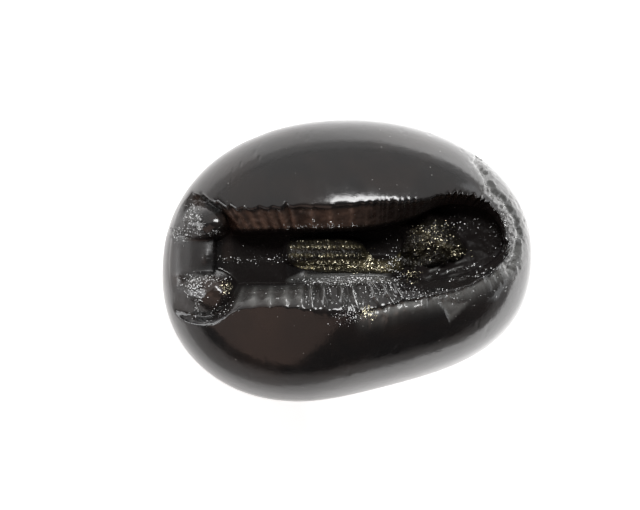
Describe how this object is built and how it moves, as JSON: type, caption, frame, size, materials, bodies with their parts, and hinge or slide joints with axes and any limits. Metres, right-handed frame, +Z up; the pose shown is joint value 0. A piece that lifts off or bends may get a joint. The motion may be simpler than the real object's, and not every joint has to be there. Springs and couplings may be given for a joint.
{
  "type": "ammonite fossil nodule",
  "caption": "Smooth black egg-shaped nodule with a long ribbed hollow across its top, the mould of an ammonite, holding an inner whorl crusted with pyrite.",
  "frame": {"origin": "on the ground under the middle of the outline, with the nodule lying on its worn belly", "axes": "+X along the nodule and its hollow, towards the chamber end; +Y across it; +Z up, out of the hollow"},
  "size_m": [0.0634, 0.0482, 0.0365],
  "materials": {
    "black_stone": "water-worn and oiled, glossy",
    "pyrite": "fine metallic crystals, sparkling"
  },
  "bodies": {
    "root": {"nodule": "black_stone", "pyrite_crust": "pyrite"}
  },
  "joints": []
}
